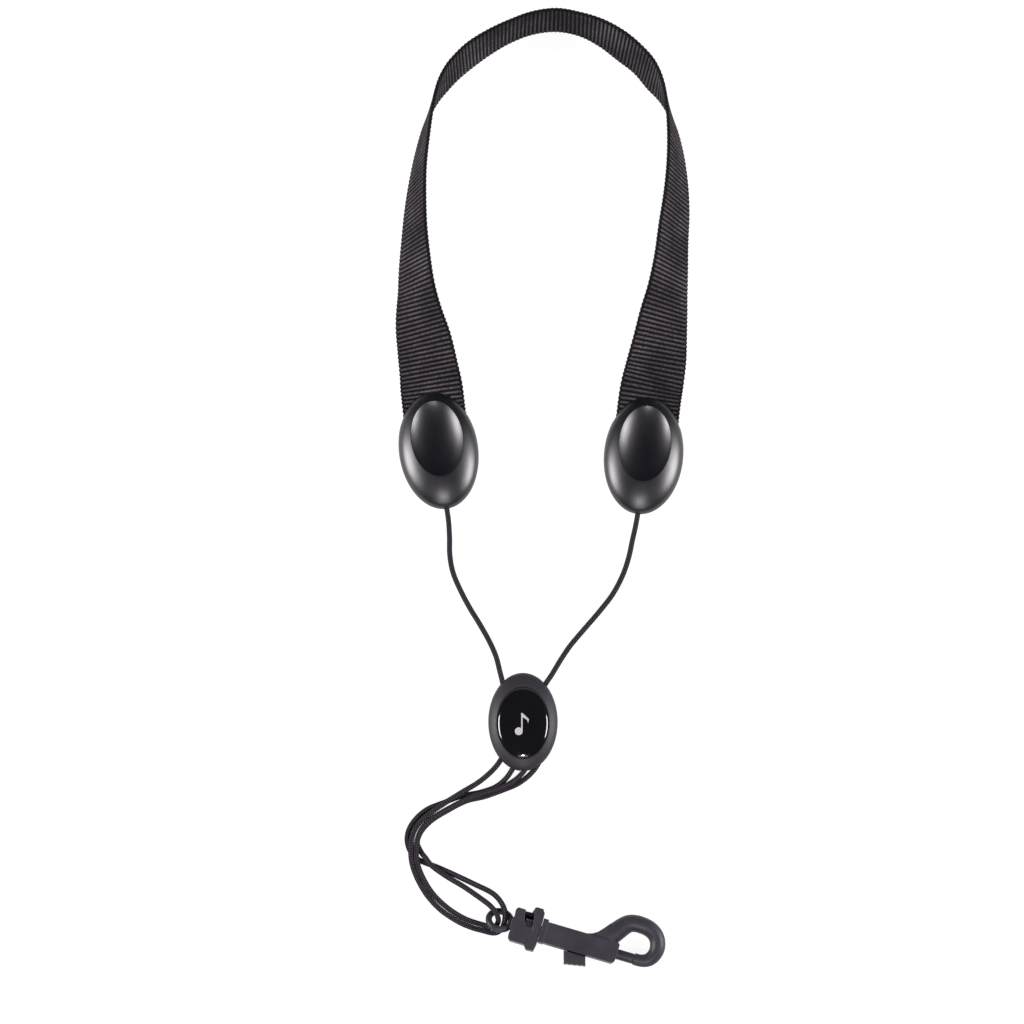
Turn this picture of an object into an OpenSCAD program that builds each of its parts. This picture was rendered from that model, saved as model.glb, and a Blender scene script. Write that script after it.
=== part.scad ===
// Saxophone neck strap lying flat: webbing band, two caps, a cord through a slider, a swivel snap hook.
// +Y points from the hook to the top of the neck loop, +Z points up from the surface that it lies on.

/* [Neck band] */
// Width of the webbing
band_w = 32; // [28:0.5:36]
// Thickness of the webbing
band_t = 1.8; // [1.2:0.1:2]
// Diameter of the two pins that hold each end of the webbing
band_pin_d = 3; // [2:0.5:4]

/* [Caps] */
// Width of each oval cap
cap_w = 40; // [38:0.5:44]
// Length of each oval cap
cap_l = 61; // [58:0.5:64]
// Height of the cap's back shell, up to the parting line
cap_back_h = 4.2; // [3.8:0.1:4.6]
// Height of the cap's domed front shell above the parting line
cap_front_h = 9; // [8.4:0.1:10]
// Width of the concave dish in the cap
dish_w = 26; // [22:0.5:27]
// Length of the concave dish in the cap
dish_l = 40.5; // [36:0.5:41]

/* [Slider] */
// Width of the oval slider
slider_w = 34.2; // [33:0.2:35]
// Length of the oval slider
slider_l = 48.8; // [47.6:0.2:50]
// Height of the slider's back shell, up to the parting line
slider_back_h = 4.2; // [3.8:0.1:4.6]
// Height of the domed front shell above the parting line
slider_front_h = 6.6; // [6:0.1:7]
// Distance of the two outer cord channels from the slider's centre line
outer_channel = 9.6; // [9.4:0.1:9.8]

/* [Cord] */
// Diameter of the braided cord
cord_d = 2.5; // [2:0.1:2.5]

/* [Swivel hook] */
// Height of the hook's axis above the surface
hook_axis_z = 5.2; // [5.2:0.1:6]
// Length of the hook's body, from collar to nose
hook_body_l = 36.4; // [36:0.1:37]
// Width of the hook's body, across the thumb tab's side
hook_body_w = 10.2; // [9.8:0.1:10.6]
// Thickness of the hook's body
hook_body_t = 9.5; // [8:0.1:9.8]
// Diameter of the sliding bolt
bolt_d = 5; // [4.4:0.1:5.2]
// Radial clearance of the bolt and of the swivel neck
running_gap = 0.06; // [0.02:0.01:0.1]
// Radius of the swivel eye, to the middle of its wire
eye_r = 5.4; // [5.2:0.1:5.5]
// Diameter of the swivel eye's wire
eye_wire_d = 3.2; // [3:0.1:3.3]

/* [Hidden] */
$fn = 64;
eps = 0.01;

// Where the four assemblies lie: [x, y] of the centre and the turn about Z.
left_cap_at = [-53, 16.5];
left_cap_turn = 8.1;
right_cap_at = [50.3, 13.9];
right_cap_turn = -6.1;
slider_at = [-10.6, -121.7];
hook_at = [-0.3, -224.6];
hook_turn = -16.3;
// Shift that puts the origin under the middle of the object's box.
origin_shift = [-0.1, -2.6, 0];

// The neck band's route from the left cap over the top to the right cap: [x, y, lean].
// Lean is the angle of the webbing's width above the surface: 90 stands on edge, 0 lies flat.
band_route = [
  [-53.6, 24, 0], [-55.2, 36, 0], [-56.4, 46, 1], [-58, 57, 18], [-60.4, 71, 29], [-63.1, 84, 41],
  [-64.7, 98, 53], [-65.6, 112, 59], [-65.9, 128, 65], [-65.5, 144, 69], [-64.3, 160, 73],
  [-62, 176, 76], [-59, 191, 80], [-54.7, 203.8, 86], [-49.8, 212.2, 90], [-44.6, 218.6, 91.2],
  [-37.6, 225.2, 92], [-28.2, 232, 90.2], [-17.5, 238.1, 87.8], [-5.5, 242.9, 87.1], [7.2, 244.6, 87.1],
  [19.5, 242.2, 87.6], [30.5, 237.3, 91.8], [40.5, 230.3, 95.5], [49.2, 222.7, 94.8], [55.8, 214.3, 95],
  [61.6, 204.5, 87.6], [65.8, 191, 79], [68, 176, 73], [68.7, 160, 68], [68.1, 144, 63.4],
  [66.4, 128, 59.6], [65, 112, 55.4], [63.1, 97, 49], [60.9, 84, 39], [58.8, 70, 28],
  [56.4, 57, 14], [54.2, 46, 1], [52.7, 35, 0], [51.4, 23, 0]
];
// Lowest height of the webbing's middle, where the caps hold it.
band_end_z = 4.6;
band_steps = 4;

// The cord's routes: [x, y, z] of its middle, 2 to 3 diameters apart.
cord_z = 4.2;
upper_left_route = [
  [-50.6, -0.7, 4.2], [-48.8, -13, 4.2], [-47.8, -20, 3.2], [-47.3, -28, 1.6], [-47.1, -37, 1.3],
  [-45.5, -45.8, 1.3], [-41.8, -54.8, 1.3], [-37, -64, 1.3], [-32, -72.3, 1.3], [-27.3, -80.8, 1.4],
  [-24, -88.5, 2.1], [-22.1, -96, 3.4], [-20.4, -103.5, 4.1], [-20.2, -109, 4.2]
];
upper_right_route = [
  [48.6, -2.6, 4.2], [47.2, -15, 4.2], [46, -22, 3.2], [44.3, -29.5, 1.6], [42.3, -38.5, 1.3],
  [39.2, -47.5, 1.3], [34.2, -57, 1.3], [27.5, -65.8, 1.3], [20, -74.6, 1.3], [13, -83, 1.4],
  [8.2, -90.3, 2.3], [3.8, -97.8, 3.5], [-0.4, -104.5, 4.1], [-1, -109, 4.2]
];
lower_a_route = [
  [-20.2, -135, 4.2], [-21.2, -139.8, 4], [-25.3, -145.3, 3.2], [-32.2, -151.2, 2.7], [-40.5, -156.4, 3.7],
  [-48.5, -161.5, 4.1], [-55.8, -166.5, 3.7], [-61.5, -171.7, 3.5], [-64.6, -177.8, 3.5], [-65.2, -184.5, 4.1],
  [-64.6, -191, 3.6], [-62.1, -198, 1.6], [-57.4, -206, 1.3], [-50.7, -213.2, 1.3], [-42.5, -218.7, 1.3],
  [-36, -221.6, 1.3], [-30, -223.3, 1.3]
];
lower_b_route = [
  [-13.9, -139.5, 4.2], [-15.2, -143.8, 3.8], [-18.6, -149, 2.4], [-23.8, -153.3, 1.4], [-31.2, -156, 1.3],
  [-40.5, -157.9, 1.3], [-49.5, -161.2, 1.3], [-57.5, -164.5, 1.3], [-63.2, -169.4, 1.3], [-66.5, -175, 1.3],
  [-67, -180.8, 1.3], [-64.6, -186.4, 1.3], [-60, -189.8, 1.3], [-52.5, -192.6, 1.3], [-43.5, -196.6, 1.9],
  [-34.5, -201, 3.6], [-26.5, -205, 5]
];
lower_c_route = [
  [-7.3, -139.5, 4.2], [-9, -144.3, 4.1], [-13.4, -149.5, 3.8], [-20.5, -153.8, 3.7], [-28.5, -156.4, 3.8],
  [-37.2, -159.4, 3.9], [-46.4, -164.1, 3.9], [-54.1, -168.6, 3.8], [-59.4, -173.5, 3.9], [-62.1, -179.4, 3.8],
  [-62.6, -185.5, 4], [-61.9, -191.2, 3.7], [-59.4, -197.7, 1.8], [-54.4, -205.6, 1.3], [-47.1, -212.5, 1.3],
  [-38.6, -217.7, 1.3], [-29.5, -220.7, 1.3]
];
lower_d_route = [
  [-1, -135, 4.2], [-2.2, -140.5, 4], [-6.3, -146.6, 2.7], [-13, -151.8, 1.4], [-21, -155.2, 1.3],
  [-29.5, -158.2, 1.3], [-38.5, -160.4, 1.3], [-47.5, -165, 1.3], [-55.2, -169.8, 1.3], [-60.2, -175.1, 1.3],
  [-62.2, -180.6, 1.3], [-60.3, -185.3, 1.8], [-58, -188.5, 3.9], [-55, -192.2, 4], [-47.8, -197.3, 3.2],
  [-39.4, -202.3, 3], [-30.5, -208.6, 5.2]
];
bight_outer_route = [
  [-30, -223.3, 1.3], [-25, -224.4, 1.6], [-21.6, -223.3, 3], [-19.9, -220.3, 4.7], [-19.3, -216.5, 5.4],
  [-20, -212.5, 5.6], [-22.6, -208.3, 5.5], [-26.5, -205, 5]
];
bight_inner_route = [
  [-29.5, -220.7, 1.3], [-26, -221.6, 1.9], [-23.6, -220.9, 3.6], [-22.6, -218.6, 5.4], [-23.6, -215.4, 6.5],
  [-26.4, -211.9, 6.2], [-30.5, -208.6, 5.2]
];
// Directions in which one stretch hands over to the next.
toward_hook = [0, -1, 0];
outer_low_way = [1, -0.26, 0];
inner_low_way = [1, -0.38, 0];
outer_high_way = [1, -0.6, 0.12];
inner_high_way = [1, -0.75, 0.15];

cord_sides = 8;
// The solid is a little slimmer than the cord, so that crossing stretches stay clear.
cord_r = cord_d / 2 - 0.05;
cord_hole_r = cord_d / 2 + 0.3;

cap_slot_h = band_t + 0.5;
cap_knot_y = -15.2;
knot_r = 3.1;
knot_l = 5.6;
band_pin_x = 9;
band_pin_y = 15;
dish_shift = 4.8;
dish_depth = 4;
dish_tilt = -3.6;

recess_w = 26.2;
recess_l = 35.8;
recess_shift = -0.9;
recess_z = 7.2;
badge_gap = 0.6;
badge_h = 2;
peg_r = 3.4;
turn_r = 5;
turn_y = 4;
slider_inset = 3;
channel_l = 26;

barrel_t = 5.2;
flange_t = 4.6;
// Where the swivel head starts along the hook's axis, and its length.
head_u = -10.4;
head_l = 4;
// The eye's block, the end flange with its lug, and the slot over the swivel head: [along, across].
block_outline = [
  [-16.3, 6.4], [-15.3, 7.8], [-11.7, 7.7], [-7.6, 7.9], [-6.2, 0.5], [-5.4, -1], [-6.3, -4.5], [-8.2, -8.5],
  [-15.2, -8.4], [-16.3, -7.4], [-16.4, -5.3], [-16.1, -3.2], [-16.7, -2.4], [-16.7, 2], [-16, 3.2]
];
flange_outline = [
  [-8.2, 9.2], [-6.8, 10.4], [-3.6, 10.4], [-2.4, 8.6], [-2.2, -6.4], [-2.9, -10.2], [-6.5, -10.4], [-8.4, -8]
];
slot_outline = [
  [-11.7, 12], [-11.4, 5], [-10.6, 2], [-9.2, 0.2], [-6.4, 0.2], [-6.6, 4], [-8.2, 12]
];
neck_r = 2.6;
head_r = 4.2;
eye_u = -22.4;
eye_v = -0.3;
eye_tilt = -33;
bolt_back_u = 13;
bolt_front_u = 44.5;
bolt_travel = 7.6;
chamber_u = 2.5;
tab_stem_t = 3;
spring_turns = 6;
spring_wire_r = 0.25;
spring_r = 1.7;

// Hook arm: [u, v, half width in the hook's plane, half thickness] along its middle, root to tip.
arm_route = [
  [24, -0.6, 4.2, 3.6], [27, 2.2, 4.7, 4], [30, 6, 4.75, 4.2], [32.8, 9.8, 4.7, 4.3], [35.6, 13.4, 4.5, 4.3],
  [38, 15.6, 4.3, 4.2], [41.2, 16.6, 4.15, 4.1], [44.6, 16.6, 4.1, 4], [48, 16, 4, 3.9], [51, 14.4, 3.9, 3.8],
  [53.2, 11.8, 3.8, 3.7], [54.2, 8.4, 3.7, 3.6], [53.8, 5, 3.5, 3.4], [52.2, 2.2, 3.3, 3.2],
  [50, 0.7, 3.1, 3], [47.4, 0.1, 2.95, 2.9], [44.6, 0.1, 2.9, 2.85]
];
arm_sides = 16;
// Web that fills the corner between the body's edge and the arm.
web_outline = [
  [16, 4], [17.5, 5], [19.8, 5.25], [22.4, 6], [24.6, 7.4], [27, 10], [29.6, 13.2], [32.6, 12], [29, 4]
];
web_t = 3.6;

// ---- helpers ----

function unit(v) = v / norm(v);

// Point at t (0 to 1) on the smooth curve from b to c, with a before and d after.
function curve_point(a, b, c, d, t) =
  0.5 * (2 * b + (c - a) * t + (2 * a - 5 * b + 4 * c - d) * t * t + (3 * b - a - 3 * c + d) * t * t * t);

// A list of points made finer: steps points for each stretch.
function smooth(points, steps) = [
  for (i = [0 : len(points) - 2])
    for (j = [0 : steps - 1])
      curve_point(
        points[max(i - 1, 0)], points[i], points[i + 1], points[min(i + 2, len(points) - 1)], j / steps
      ),
  points[len(points) - 1]
];

// Direction of a list of points at its i-th point.
function way(points, i) =
  unit(points[min(i + 1, len(points) - 1)] - points[max(i - 1, 0)]);

// Faces of a tube of rings with a given number of corners each, closed at both ends.
function tube_faces(rings, corners) = concat(
  [[for (k = [corners - 1 : -1 : 0]) k]],
  [
    for (i = [0 : rings - 2])
      for (k = [0 : corners - 1])
        for (side = [0, 1])
          let (a = i * corners + k, b = i * corners + (k + 1) % corners)
          side == 0 ? [a, b, b + corners] : [a, b + corners, a + corners]
  ],
  [[for (k = [0 : corners - 1]) (rings - 1) * corners + k]]
);

// One ring of a round tube about a point, square to a direction.
function ring(point, direction, radius, corners) =
  let (side = unit(cross(direction, [0, 0, 1])), up = cross(side, direction))
  [
    for (k = [0 : corners - 1])
      point + radius * (cos(360 * k / corners) * side + sin(360 * k / corners) * up)
  ];

module cord(points, first_way, last_way) {
  last = len(points) - 1;
  rings = [
    for (i = [0 : last])
      ring(
        points[i],
        unit(i == 0 ? first_way : i == last ? last_way : way(points, i)),
        cord_r, cord_sides
      )
  ];
  color([0.2, 0.19, 0.21])
    translate(origin_shift)
      polyhedron([for (r = rings) each r], tube_faces(len(rings), cord_sides));
}

// A round profile turned about Z and stretched to an oval: profile is [radius, height] points.
module oval(profile, ratio, sides = 128) {
  scale([1, ratio, 1])
    rotate_extrude($fn = sides)
      polygon(profile);
}

// A cylinder along Y, centred at y.
module along_y(radius, length, x, y, z) {
  translate([x, y, z])
    rotate([90, 0, 0])
      cylinder(r = radius, h = length, center = true);
}

// A cylinder along X from one place to another.
module along_x(radius, from, to) {
  translate([from, 0, 0])
    rotate([0, 90, 0])
      cylinder(r = radius, h = to - from);
}

module at_left_cap() {
  translate(origin_shift)
    translate(left_cap_at)
      rotate(left_cap_turn)
        children();
}

module at_right_cap() {
  translate(origin_shift)
    translate(right_cap_at)
      rotate(right_cap_turn)
        children();
}

module at_slider() {
  translate(origin_shift)
    translate(slider_at)
      children();
}

module at_hook() {
  translate(origin_shift)
    translate([hook_at[0], hook_at[1], hook_axis_z])
      rotate(hook_turn)
        children();
}

// ---- neck band ----

function band_height(lean) =
  max(band_w / 2 * sin(lean) + band_t / 2 * abs(cos(lean)) + 0.05, band_end_z);

function band_stations() =
  smooth([for (p = band_route) [p[0], p[1], band_height(p[2]), p[2]]], band_steps);

// Four corners of the webbing's section at one station.
function band_section(stations, i) =
  let (
    middles = [for (s = stations) [s[0], s[1], s[2]]],
    along = way(middles, i),
    flat_way = unit([along[0], along[1], 0]),
    inward = [flat_way[1], -flat_way[0], 0],
    lean = stations[i][3],
    raw = inward * cos(lean) + [0, 0, 1] * sin(lean),
    across = unit(raw - along * (raw * along)),
    face = cross(along, across)
  )
  [
    for (c = [[-1, -1], [1, -1], [1, 1], [-1, 1]])
      middles[i] + across * c[0] * band_w / 2 + face * c[1] * band_t / 2
  ];

module band_strip() {
  stations = band_stations();
  sections = [for (i = [0 : len(stations) - 1]) band_section(stations, i)];
  translate(origin_shift)
    polyhedron([for (s = sections) each s], tube_faces(len(sections), 4));
}

module band_pin_holes(clearance, low, high) {
  for (x = [-band_pin_x, band_pin_x])
    translate([x, band_pin_y, low])
      cylinder(d = band_pin_d + clearance, h = high - low);
}

module webbing_band() {
  color([0.18, 0.17, 0.19])
    difference() {
      band_strip();
      at_left_cap() band_pin_holes(0.3, 0, 12);
      at_right_cap() band_pin_holes(0.3, 0, 12);
    }
}

// ---- caps ----

cap_ratio = cap_l / cap_w;
// The rim plane of the dish and the ellipsoid that cuts it.
dish_rim_z = cap_back_h + 0.74 * cap_front_h;
dish_lift = 4.2;
dish_rise = dish_depth + dish_lift;
dish_share = sqrt(1 - pow(dish_lift / dish_rise, 2));

function dome_profile(radius, base, height, steps) = concat(
  [[0, base]],
  [for (a = [0 : 90 / steps : 90]) [radius * cos(a), base + height * sin(a)]]
);

function tray_profile(radius, height, round_in, steps) = concat(
  [[0, 0]],
  [for (a = [0 : 90 / steps : 90]) [radius - round_in * (1 - sin(a)), height * (1 - cos(a))]],
  [[0, height]]
);

function bowl_profile(steps) = concat(
  [[0, 0]],
  [for (a = [-90 : 90 / steps : 0]) [cos(a), sin(a)]]
);

module dish_cutter() {
  translate([0, dish_shift, dish_rim_z + dish_lift])
    rotate([dish_tilt, 0, 0])
      scale([dish_w / 2 / dish_share, dish_l / 2 / dish_share, dish_rise])
        union() {
          rotate_extrude()
            polygon(bowl_profile(9));
          cylinder(r = 1, h = 1);
        }
}

// Everything that both shells leave room for: the webbing's slot, the knot and the cord's hole.
module cap_hollows() {
  translate([-band_w / 2 - 1, band_pin_y - 9, band_end_z - cap_slot_h / 2])
    cube([band_w + 2, cap_l, cap_slot_h]);
  along_y(knot_r + 0.3, knot_l + 0.6, 0, cap_knot_y, cord_z + 0.05);
  along_y(cord_hole_r, 20, 0, -28, cord_z + 0.05);
}

module cap_front() {
  color([0.16, 0.16, 0.18])
    difference() {
      oval(dome_profile(cap_w / 2, cap_back_h, cap_front_h, 10), cap_ratio);
      dish_cutter();
      cap_hollows();
      band_pin_holes(0.04, 2, 8);
    }
}

module cap_back() {
  color([0.14, 0.14, 0.15])
    difference() {
      oval(tray_profile(cap_w / 2, cap_back_h, 3, 4), cap_ratio, 64);
      cap_hollows();
      band_pin_holes(0.04, 1.2, 8);
    }
}

module band_pins() {
  color([0.6, 0.6, 0.62])
    band_pin_holes(0, 1.2, 7.8);
}

// A hard knot pulled up on the cord's end, round in section.
module cord_knot() {
  color([0.2, 0.19, 0.21])
    translate([0, cap_knot_y, cord_z])
      rotate([90, 0, 0])
        rotate_extrude()
          polygon([
            [0, -knot_l / 2], [knot_r - 0.9, -knot_l / 2], [knot_r, -knot_l / 2 + 1],
            [knot_r, knot_l / 2 - 1], [knot_r - 0.9, knot_l / 2], [0, knot_l / 2]
          ]);
}

// ---- slider ----

slider_ratio = slider_l / slider_w;

module oval_prism(width, length, low, high) {
  translate([0, 0, low])
    scale([width / 2, length / 2, 1])
      cylinder(r = 1, h = high - low);
}

// Room for the cord: two straight channels and the pocket in which it turns round the peg.
module slider_hollows() {
  for (x = [-outer_channel, outer_channel])
    along_y(cord_hole_r, 60, x, 0, cord_z);
  difference() {
    union() {
      translate([0, turn_y, cord_z])
        cylinder(r = turn_r + cord_hole_r, h = 2 * cord_hole_r, center = true);
      translate([-turn_r - cord_hole_r, turn_y - 30, cord_z - cord_hole_r])
        cube([2 * (turn_r + cord_hole_r), 30, 2 * cord_hole_r]);
    }
    translate([0, turn_y, 0])
      cylinder(r = peg_r, h = 12);
  }
}

// A band under the dome's rim at both ends, where the cords fan out sideways.
module slider_reliefs() {
  for (end = [-1, 1])
    translate([-slider_w / 2, end > 0 ? channel_l / 2 + 1.5 : -slider_l / 2 - 1, slider_back_h - 2])
      cube([slider_w, slider_l / 2 - channel_l / 2 - 0.5, 2 + cord_hole_r]);
}

module slider_front() {
  color([0.27, 0.27, 0.29])
    difference() {
      at_slider() oval(dome_profile(slider_w / 2, slider_back_h, slider_front_h, 10), slider_ratio);
      at_slider() translate([0, recess_shift, 0]) oval_prism(recess_w, recess_l, recess_z, 20);
      at_slider() slider_hollows();
      at_slider() slider_reliefs();
      at_slider() translate([0, turn_y, 3]) cylinder(r = peg_r + 0.02, h = 3.4);
    }
}

module slider_back() {
  color([0.2, 0.2, 0.22])
    difference() {
      at_slider()
        oval(
          tray_profile(slider_w / 2 - slider_inset, slider_back_h, 2, 4),
          (slider_l / 2 - slider_inset) / (slider_w / 2 - slider_inset)
        );
      at_slider() slider_hollows();
      at_slider() slider_reliefs();
      at_slider() translate([0, turn_y, 1.2]) cylinder(r = peg_r + 0.02, h = 6);
    }
}

module slider_badge() {
  color([0.06, 0.06, 0.07])
    at_slider()
      translate([0, recess_shift, recess_z])
        oval(
          dome_profile(recess_w / 2 - badge_gap, 0, badge_h, 7),
          (recess_l / 2 - badge_gap) / (recess_w / 2 - badge_gap),
          64
        );
}

// A plain eighth note, laid into the badge.
module badge_emblem() {
  note_z = recess_z + badge_h - 0.5;
  color([0.78, 0.78, 0.8])
    at_slider()
      translate([-1, recess_shift - 1, note_z])
        linear_extrude(0.8) {
          translate([-1.1, -3.6]) circle(r = 1.9);
          translate([0.1, -3.6]) square([0.7, 9]);
          polygon([[0.1, 5.4], [0.8, 5.4], [3.9, 2.4], [3.5, 0.4], [3, 2], [0.8, 3.4]]);
        }
}

module slider_peg() {
  color([0.55, 0.55, 0.57])
    at_slider()
      translate([0, turn_y, 1.2])
        cylinder(r = peg_r, h = 5.1);
}

module slider_run(side) {
  x = slider_at[0] + side * outer_channel;
  cord([[x, -109, cord_z], [x, -122, cord_z], [x, -135, cord_z]], toward_hook, toward_hook);
}

module slider_cord_turn() {
  centre = [slider_at[0], slider_at[1] + turn_y, cord_z];
  bend = [for (a = [180 : -30 : 0]) centre + turn_r * [cos(a), sin(a), 0]];
  cord(
    concat([lower_b_route[0], [-15, -128, cord_z]], bend, [[-6.2, -128, cord_z], lower_c_route[0]]),
    -toward_hook, toward_hook
  );
}

// ---- swivel eye ----

module swivel_eye() {
  color([0.29, 0.28, 0.31])
    at_hook()
      difference() {
        union() {
          translate([eye_u, eye_v, 0])
            rotate([eye_tilt, 0, 0])
              rotate_extrude()
                translate([eye_r, 0])
                  circle(d = eye_wire_d);
          translate([0, 0, -barrel_t])
            linear_extrude(2 * barrel_t)
              polygon(block_outline);
          translate([0, 0, -flange_t])
            linear_extrude(2 * flange_t)
              polygon(flange_outline);
        }
        // The pocket in which the swivel head turns, the open slot above it, and the neck's bore.
        along_x(head_r + 0.3, head_u - 0.2, head_u + head_l + 0.2);
        translate([0, 0, -3])
          linear_extrude(12)
            polygon(slot_outline);
        along_x(neck_r + running_gap, head_u + head_l, -1);
      }
}

// ---- hook ----

function arm_rings() = [
  for (i = [0 : len(arm_route) - 1])
    let (
      middles = [for (p = arm_route) [p[0], p[1], 0]],
      side = cross(way(middles, i), [0, 0, 1])
    )
    [
      for (k = [0 : arm_sides - 1])
        middles[i] + arm_route[i][2] * cos(360 * k / arm_sides) * side
          + [0, 0, arm_route[i][3] * sin(360 * k / arm_sides)]
    ]
];

module hook_block() {
  w = hook_body_w / 2;
  t = hook_body_t / 2;
  bevel = 0.7;
  intersection() {
    translate([0, 0, -t])
      linear_extrude(2 * t)
        polygon([
          [0, -w], [hook_body_l - 1.6, -w], [hook_body_l - 0.3, -w + 1.4], [hook_body_l, w - 1],
          [hook_body_l - 0.8, w], [0, w]
        ]);
    rotate([90, 0, 90])
      linear_extrude(hook_body_l + 1)
        polygon([
          [-w, -t + bevel], [-w + bevel, -t], [w - bevel, -t], [w, -t + bevel],
          [w, t - bevel], [w - bevel, t], [-w + bevel, t], [-w, t - bevel]
        ]);
  }
}

module hook_body() {
  color([0.27, 0.26, 0.29])
    at_hook()
      difference() {
        union() {
          hook_block();
          translate([0, 0, -web_t])
            linear_extrude(2 * web_t)
              polygon(web_outline);
          polyhedron([for (r = arm_rings()) each r], tube_faces(len(arm_route), arm_sides));
          intersection() {
            translate([0, 0.4, 0]) along_x(6, -2, eps);
            translate([-5, -8, -barrel_t + 0.2]) cube([10, 16, 2 * barrel_t - 0.4]);
          }
          along_x(neck_r, head_u + 1, 0);
          along_x(head_r, head_u, head_u + head_l);
        }
        along_x(bolt_d / 2 + running_gap, chamber_u, hook_body_l + 1);
        translate([bolt_back_u - bolt_travel - 2.2, -hook_body_w, -tab_stem_t / 2 - 0.1])
          cube([19.2, hook_body_w, tab_stem_t + 0.2]);
      }
}

module hook_bolt() {
  color([0.25, 0.25, 0.27])
    at_hook() {
      along_x(bolt_d / 2, bolt_back_u, bolt_front_u);
      translate([bolt_back_u, -8, -tab_stem_t / 2])
        cube([9, 8, tab_stem_t]);
      difference() {
        translate([0, 0, -3.4])
          linear_extrude(6.8)
            polygon([[11.2, -5.7], [13, -11.8], [23.3, -9.9], [22, -5.7]]);
        for (i = [0 : 3])
          translate([14.6 + 2.4 * i, -12 + 0.45 * i, -5])
            cylinder(r = 0.7, h = 10, $fn = 24);
      }
    }
}

module bolt_spring() {
  from = chamber_u + spring_wire_r + 0.05;
  to = bolt_back_u - spring_wire_r - 0.05;
  steps = spring_turns * 12;
  turns = [
    for (i = [0 : steps])
      let (a = 30 * i, u = from + (to - from) * i / steps)
      [u, spring_r * cos(a), spring_r * sin(a)]
  ];
  rings = [
    for (i = [0 : steps])
      let (
        along = way(turns, i),
        out = unit([0, turns[i][1], turns[i][2]]),
        side = unit(cross(along, out))
      )
      [
        for (k = [0 : 5])
          turns[i] + spring_wire_r * (cos(60 * k) * side + sin(60 * k) * cross(side, along))
      ]
  ];
  color([0.7, 0.7, 0.72])
    at_hook()
      polyhedron([for (r = rings) each r], tube_faces(len(rings), 6));
}

webbing_band();
at_left_cap() cap_front();  // left_cap_front
at_left_cap() cap_back();  // left_cap_back
at_left_cap() band_pins();  // left_band_pins
at_left_cap() cord_knot();  // left_cord_knot
at_right_cap() cap_front();  // right_cap_front
at_right_cap() cap_back();  // right_cap_back
at_right_cap() band_pins();  // right_band_pins
at_right_cap() cord_knot();  // right_cord_knot
slider_front();
slider_back();
slider_badge();
badge_emblem();
slider_peg();
slider_run(-1);  // slider_cord_left
slider_run(1);  // slider_cord_right
slider_cord_turn();
cord(upper_left_route, [sin(left_cap_turn), -cos(left_cap_turn), 0], toward_hook);  // cord_upper_left
cord(upper_right_route, [sin(right_cap_turn), -cos(right_cap_turn), 0], toward_hook);  // cord_upper_right
cord(lower_a_route, toward_hook, outer_low_way);  // cord_lower_a
cord(lower_b_route, toward_hook, outer_high_way);  // cord_lower_b
cord(lower_c_route, toward_hook, inner_low_way);  // cord_lower_c
cord(lower_d_route, toward_hook, inner_high_way);  // cord_lower_d
cord(bight_outer_route, outer_low_way, -outer_high_way);  // eye_bight_outer
cord(bight_inner_route, inner_low_way, -inner_high_way);  // eye_bight_inner
swivel_eye();
hook_body();
hook_bolt();
bolt_spring();
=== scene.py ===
import math

import bmesh
import bpy
import numpy as np
from mathutils import Matrix, Vector


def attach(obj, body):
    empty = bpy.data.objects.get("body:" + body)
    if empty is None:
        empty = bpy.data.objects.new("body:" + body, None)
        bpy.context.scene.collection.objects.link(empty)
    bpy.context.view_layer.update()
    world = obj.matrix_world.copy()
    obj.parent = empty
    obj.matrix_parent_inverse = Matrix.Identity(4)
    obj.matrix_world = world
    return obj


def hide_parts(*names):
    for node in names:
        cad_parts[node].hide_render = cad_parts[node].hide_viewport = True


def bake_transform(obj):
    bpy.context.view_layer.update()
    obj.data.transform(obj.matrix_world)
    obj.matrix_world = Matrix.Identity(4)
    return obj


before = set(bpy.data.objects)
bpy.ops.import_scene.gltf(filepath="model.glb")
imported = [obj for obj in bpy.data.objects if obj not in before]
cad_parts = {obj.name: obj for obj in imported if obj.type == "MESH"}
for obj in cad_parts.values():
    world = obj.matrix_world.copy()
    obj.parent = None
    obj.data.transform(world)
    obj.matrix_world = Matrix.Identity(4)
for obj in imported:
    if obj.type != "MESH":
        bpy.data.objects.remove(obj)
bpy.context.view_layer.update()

MM = 0.001
# From the drawing's origin to the row frame's, in millimetres.
SHIFT = (-0.1, -2.6)


def at(x, y, z=0.0):
    """A point of the drawing, in millimetres, as a point of the row frame."""
    return Vector(((x + SHIFT[0]) * MM, (y + SHIFT[1]) * MM, z * MM))


def moved(points):
    """Rows of drawing points, in millimetres, as rows of points of the row frame."""
    return (points + (*SHIFT, 0)) * MM


# ---------------------------------------------------------------- camera

ELEVATION = math.radians(76.4)
DISTANCE = 1.35
LENS = 94.4
SENSOR = 36
target = at(-16, -14.5)
camera = bpy.data.objects.new("camera", bpy.data.cameras.new("camera"))
bpy.context.collection.objects.link(camera)
camera.data.lens = LENS
camera.data.sensor_width = SENSOR
camera.location = target + DISTANCE * Vector((0, -math.cos(ELEVATION), math.sin(ELEVATION)))
camera.rotation_euler = (math.pi / 2 - ELEVATION, 0, 0)
bpy.context.scene.camera = camera
bpy.context.scene.view_settings.view_transform = "Standard"

# ---------------------------------------------------------------- curves and meshes

CURVE_STEPS = 12


def spline(points, steps=CURVE_STEPS):
    """Points on the smooth curve through the given ones, as part.scad makes its own."""
    p = np.array(points, float)
    out = []
    for i in range(len(p) - 1):
        a, b, c, d = p[max(i - 1, 0)], p[i], p[i + 1], p[min(i + 2, len(p) - 1)]
        for j in range(steps):
            t = j / steps
            out.append(0.5 * (2 * b + (c - a) * t + (2 * a - 5 * b + 4 * c - d) * t ** 2
                              + (3 * b - a - 3 * c + d) * t ** 3))
    out.append(p[-1])
    return np.array(out)


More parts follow.
